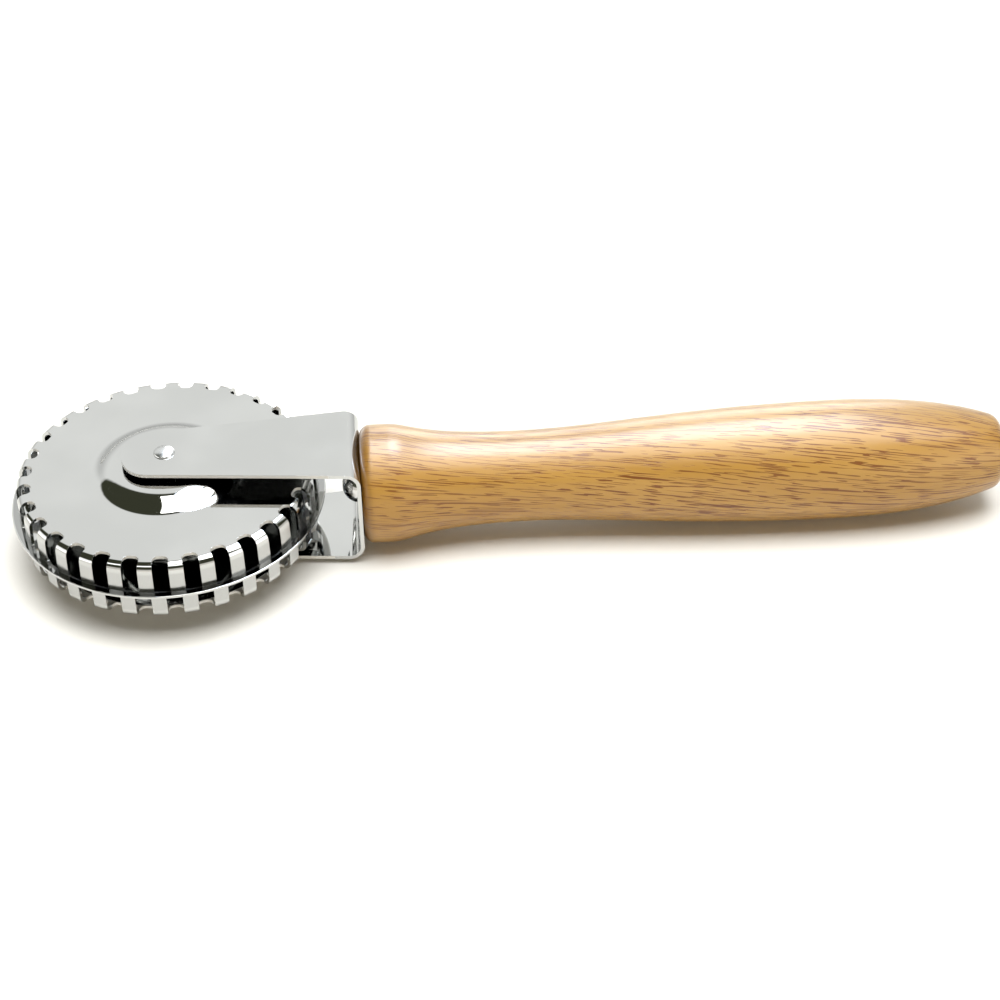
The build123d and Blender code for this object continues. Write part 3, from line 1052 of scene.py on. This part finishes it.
@dataclass
class ToothedCup:
    """Pressed cup with a raised centre and a rim that is turned down and notched into teeth."""

    side: Side
    tooth_angle: float
    sheet: float = 0.6
    tooth_count: int = 31
    tooth_width: float = 2.65
    tooth_flare: float = 0.2
    tooth_corner: float = 0.45
    tooth_columns: tuple[float, ...] = (-1, -1 / 3, 1 / 3, 1)
    bend_radius: float = 1.7
    notch_into_flat: float = 1.0
    notch_corner: float = 1.1
    depth: float = 5.8
    boss_top_radius: float = 10.1
    boss_wall_run: float = 2.9
    boss_top_fillet: float = 5.0
    boss_foot_fillet: float = 4.0
    hub_hole_radius: float = 2.08
    edge_rounding: float = 0.28
    row_guard: float = 0.01
    section_steps: int = 14
    notch_steps: int = 6
    corner_steps: int = 4

    @property
    def node(self) -> str:
        """The CAD node that the cup stands for."""
        return f"{self.side.name.lower()}_tooth_cup"

    def place_in_frame(self) -> None:
        """Takes the cup's rim radius and the heights of its faces above the disc's middle from the CAD node."""
        low, high = cad_box(self.node)
        self.rim_radius = (high.y - low.y) / 2
        self.boss_face = max(abs(low.z), abs(high.z))
        self.disc_face = min(abs(low.z), abs(high.z))
        self.cup_face = self.disc_face + self.depth

    def section(self) -> list[Pair]:
        """Draws the outer line of the cup's section.

        Returns:
            Points as radius and height, from the hub's hole to a tooth's end.
        """
        wall_foot = self.boss_top_radius + self.boss_wall_run
        return rounded_line(
            [
                (self.hub_hole_radius, self.boss_face, 0.0),
                (self.boss_top_radius, self.boss_face, self.boss_top_fillet),
                (wall_foot, self.cup_face, self.boss_foot_fillet),
                (self.rim_radius - self.tooth_flare, self.cup_face, self.bend_radius),
                (self.rim_radius, self.disc_face, 0.0),
            ],
            steps=self.section_steps,
        )

    def height_at(self, radius: float) -> float:
        """Gives the height of the outer face on the flat or early in the bend."""
        into_bend = max(radius - (self.rim_radius - self.tooth_flare - self.bend_radius), 0.0)
        return self.cup_face - self.bend_radius + sqrt(self.bend_radius**2 - into_bend**2)

    def rows(self) -> list[tuple[Pair, Pair, float]]:
        """Lays the section out in rows across one tooth's sector.

        Returns:
            For each row its outer point, its inner point and half the tooth's angle, or 0 inside the notches.
        """
        pitch = 2 * pi / self.tooth_count
        notch_half = (pitch * self.rim_radius - self.tooth_width) / 2
        notch_end = self.rim_radius - self.tooth_flare - self.bend_radius - self.notch_into_flat
        line = self.section()
        inside = [point for point in line if point[0] < notch_end - self.row_guard]
        beyond = [point for point in line if point[0] > notch_end + self.notch_corner + self.row_guard]
        middle = (notch_end + self.notch_corner, notch_half - self.notch_corner)
        notch = arc(middle, (self.notch_corner,) * 2, 0.0, pi / 2, self.notch_steps)
        corner = [((radius, self.height_at(radius)), gap) for radius, gap in notch]
        tooth = [(point, notch_half) for point in beyond[:-1]]
        slope = Vector(beyond[-1]) - Vector(beyond[-2])
        middle = (notch_half + self.tooth_corner, -self.tooth_corner)
        for gap, rest in arc(middle, (self.tooth_corner,) * 2, 0.0, pi / 2, self.corner_steps):
            tooth.append((tuple(Vector(beyond[-1]) + slope * (rest / abs(slope.y))), gap))
        outer = [(point, None) for point in inside] + corner + tooth
        inner_line = offset_line([point for point, _ in outer], self.sheet)
        inner_line[-1] = (inner_line[-1][0], self.disc_face)
        rows = []
        for (point, gap), inner in zip(outer, inner_line):
            rows.append((point, inner, 0.0 if gap is None else pitch / 2 - asin(gap / point[0])))
        return rows

    def build_sector(self) -> bpy.types.Object:
        """Builds one tooth with its share of the cup, about the origin.

        Returns:
            The sector's object, open along the two cuts where its neighbours join.
        """
        pitch = 2 * pi / self.tooth_count
        rows = self.rows()
        first_tooth = next(index for index, row in enumerate(rows) if row[2] > 0)
        root = rows[first_tooth][2]
        last = len(self.tooth_columns) - 1
        shape = bmesh.new()
        grid = []
        for index, (outer, inner, half) in enumerate(rows):
            tooth_half = half if index >= first_tooth else root
            angles = [tooth_half * share for share in self.tooth_columns]
            if index <= first_tooth:
                angles = [-pitch / 2, *angles, pitch / 2]
            sheet = []
            for radius, height in (outer, inner):
                height *= self.side.value
                sheet.append([shape.verts.new((radius * cos(a), radius * sin(a), height)) for a in angles])
            grid.append(sheet)
        for index, (near, far) in enumerate(zip(grid, grid[1:])):
            for surface in range(2):
                here = near[surface][1:-1] if index == first_tooth else near[surface]
                for column in range(len(here) - 1):
                    there = far[surface]
                    shape.faces.new([here[column], here[column + 1], there[column + 1], there[column]])
            if index >= first_tooth:
                columns = (1, last + 1) if index == first_tooth else (0, last)
                for near_column, far_column in zip(columns, (0, last)):
                    shape.faces.new(
                        [near[0][near_column], far[0][far_column], far[1][far_column], near[1][near_column]]
                    )
        self.close_ends(shape, grid, first_tooth)
        return add_object(f"{self.side.name.lower()}_toothed_cup", to_mesh(f"{self.node}_sector", shape))

    def close_ends(self, shape: bmesh.types.BMesh, grid: list, first_tooth: int) -> None:
        """Adds the walls of the hub's hole, of the notches' ends and of the tooth's end.

        Args:
            shape: The sector.
            grid: Its vertices, by row, surface and column.
            first_tooth: Row at the notches' ends.
        """
        last = len(self.tooth_columns) - 1
        root = grid[first_tooth]
        walls = [(grid[0], range(len(grid[0][0]) - 1)), (root, (0, last + 1)), (grid[-1], range(last))]
        for row, columns in walls:
            for column in columns:
                shape.faces.new([row[0][column], row[0][column + 1], row[1][column + 1], row[1][column]])

    def build(self, ring: ToothRing, finishes: Finishes) -> None:
        """Builds the whole cup and dresses it.

        Args:
            ring: Tree that sets the teeth round the axle.
            finishes: The material of each slot.
        """
        self.place_in_frame()
        cup = self.build_sector()
        ring.ring(cup, self.tooth_count, radians(self.tooth_angle), finishes[Slot.PLATE])
        whole = bmesh.new()
        whole.from_mesh(cup.data)
        bmesh.ops.recalc_face_normals(whole, faces=whole.faces)
        whole.to_mesh(cup.data)
        whole.free()
        cup.data.transform(Matrix.Translation((AXLE * MM, 0, 0)))
        cup.data.polygons.foreach_set("use_smooth", [True] * len(cup.data.polygons))
        soften_edges(cup, self.edge_rounding)
        dress_piece(cup, self.node, Body.WHEEL, Slot.PLATE, finishes)


@dataclass
class Wheel:
    """Cutting disc between the two toothed cups, on its hub eyelet."""

    rim_rounding: float = 0.12
    rim_steps: int = 5
    rim_guard: float = 0.03
    segments: int = 248
    upper_tooth_angle: float = -96.0
    lower_tooth_angle: float = -92.0

    def build_disc(self) -> bpy.types.Object:
        """Turns the thin disc, its rim rounded on both faces."""
        low, high = cad_box("cutting_disc")
        radius = (high.y - low.y) / 2
        face = high.z
        hole = ToothedCup.hub_hole_radius
        line = rounded_line(
            [
                (face, hole, 0.0),
                (face, radius, self.rim_rounding),
                (-face, radius, self.rim_rounding),
                (-face, hole, 0.0),
            ],
            steps=self.rim_steps,
            guard=self.rim_guard,
        )
        return turned_piece("thin_cutting_disc", line, Turn.AXLE, AXLE, self.segments)

    def build(self, finishes: Finishes) -> None:
        """Builds and dresses the disc and both cups, and dresses the eyelet."""
        dress_piece(self.build_disc(), "cutting_disc", Body.WHEEL, Slot.PLATE, finishes)
        ring = ToothRing()
        ToothedCup(Side.UPPER, self.upper_tooth_angle).build(ring, finishes)
        ToothedCup(Side.LOWER, self.lower_tooth_angle).build(ring, finishes)
        dress_node("hub_eyelet", Slot.STEEL, finishes)


# Studio


@dataclass(frozen=True)
class Softbox:
    """Rectangular light that either lights the pieces, as a lamp, or is only mirrored in them."""

    name: str
    place: Corner
    aim: Corner
    size: Pair
    power: float
    colour: Colour = (1.0, 1.0, 1.0)
    is_lamp: bool = False

    def hang(self) -> None:
        """Adds the light to the scene, facing the point that it aims at."""
        data = bpy.data.lights.new(self.name, "AREA")
        data.shape = "RECTANGLE"
        data.size, data.size_y = (side * MM for side in self.size)
        data.energy = self.power
        data.color = self.colour
        light = add_object(self.name, data)
        place = Vector(self.place)
        light.location = place * MM
        light.rotation_euler = (Vector(self.aim) - place).to_track_quat("-Z", "Y").to_euler()
        light.visible_diffuse = self.is_lamp
        light.visible_glossy = not self.is_lamp


PAPER_WHITE: Colour = (1.0, 0.99, 0.97)
WARM_WHITE: Colour = (1.0, 0.76, 0.45)
COOL_WHITE: Colour = (0.88, 1.0, 1.18)
LIGHTS = (
    Softbox("overhead_lamp", (20, -55, 700), (20, -55, 0), (680, 500), 9.4, PAPER_WHITE, is_lamp=True),
    Softbox("front_lamp", (0, -600, 110), (0, 0, 0), (900, 170), 1.5, WARM_WHITE, is_lamp=True),
    Softbox("overhead_softbox", (195, -75, 600), (195, -75, 0), (670, 370), 4.74, PAPER_WHITE),
    Softbox("overhead_strip", (80, 310, 598), (80, 310, 0), (240, 500), 6.7, COOL_WHITE),
    Softbox("front_softbox", (-214, -561, 814), (-64, 0, 0), (900, 210), 1.72),
    Softbox("right_softbox", (480, -354, 250), (-64, 0, 250), (500, 480), 1.6),
    Softbox("back_softbox", (145, 900, 330), (145, 0, 330), (370, 460), 3.1),
    Softbox("left_softbox", (-650, -100, 200), (-64, -100, 200), (700, 300), 1.2),
)


@dataclass
class Studio:
    """Pale floor, soft lights and a camera at the photograph's angle."""

    floor_reach: float = 1500.0
    azimuth: float = -2.896
    elevation: float = 39.477
    roll: float = -1.248
    distance: float = 444.75
    target: Corner = (-4.53, -6.73, 0.0)
    lens: float = 88.195
    sensor: float = 36.0
    clip_range: Pair = (0.01, 20.0)
    wall_light: Colour = (1.26, 1.27, 1.25)
    dark_light: Colour = (0.066, 0.07, 0.045)
    glow_light: Colour = (1.35, 1.3, 1.2)
    wall_turn: float = 14.0
    wall_edge: Pair = (0.31, 0.41)
    glow_edge: Pair = (0.2, 0.36)
    horizon_share: float = 0.68
    full_height: float = 0.5

    def build_floor(self) -> None:
        """Lays the floor under the object's lowest point."""
        height = CAD_BOX[0].z / MM
        shape = bmesh.new()
        bmesh.ops.create_grid(shape, x_segments=4, y_segments=4, size=self.floor_reach)
        bmesh.ops.translate(shape, vec=(0, 0, height), verts=shape.verts)
        floor = as_piece("pale_floor", shape)
        if floor.data.polygons[0].normal.z < 0:
            floor.data.flip_normals()
        floor.data.materials.append(PaleFloor().material())

    def build_world(self) -> None:
        """Surrounds the scene with a bright wall behind, and in front a dark room with a lit horizon."""
        world = bpy.data.worlds.new("studio")
        bpy.context.scene.world = world
        world.use_nodes = True
        nodes = Nodes(world.node_tree)
        way = nodes.node("ShaderNodeTexCoord", {}).outputs["Generated"]
        height = nodes.node("ShaderNodeSeparateXYZ", {"Vector": way}).outputs["Z"]
        turn = radians(self.wall_turn)
        facing = nodes.measure("DOT_PRODUCT", way, (sin(turn), cos(turn), 0))
        front = nodes.blend(nodes.spread(height, *self.glow_edge, (1, 0)), self.dark_light, self.glow_light)
        light = nodes.blend(nodes.spread(facing, *self.wall_edge), front, self.wall_light)
        rise = nodes.spread(height, 0, self.full_height, (self.horizon_share, 1))
        back = world.node_tree.nodes["Background"]
        nodes.set(back.inputs["Color"], light)
        nodes.set(back.inputs["Strength"], rise)

    def build_camera(self) -> None:
        """Sets the camera where the photograph was taken from."""
        turn, rise, roll = (radians(angle) for angle in (self.azimuth, self.elevation, self.roll))
        back = Vector((sin(turn) * cos(rise), -cos(turn) * cos(rise), sin(rise)))
        level = Vector((0, 0, 1)).cross(back).normalized()
        upright = back.cross(level)
        right = cos(roll) * level + sin(roll) * upright
        up = cos(roll) * upright - sin(roll) * level
        data = bpy.data.cameras.new("camera")
        data.sensor_width = self.sensor
        data.lens = self.lens
        data.clip_start, data.clip_end = self.clip_range
        camera = add_object("camera", data)
        facing = Matrix((right, up, back)).transposed().to_4x4()
        place = (Vector(self.target) + back * self.distance) * MM
        camera.matrix_world = Matrix.Translation(place) @ facing
        bpy.context.scene.camera = camera

    def build(self) -> None:
        """Builds the whole studio."""
        self.build_floor()
        for light in LIGHTS:
            light.hang()
        self.build_world()
        self.build_camera()
        bpy.context.scene.view_settings.view_transform = "Standard"


def main() -> None:
    """Builds the object's sub-assemblies and the studio, in order."""
    logging.basicConfig(level=logging.INFO, format="%(name)s: %(message)s")
    finishes = make_finishes()
    Handle().build(finishes)
    Fork().build(finishes)
    Wheel().build(finishes)
    Studio().build()


if __name__ == "__main__":
    main()
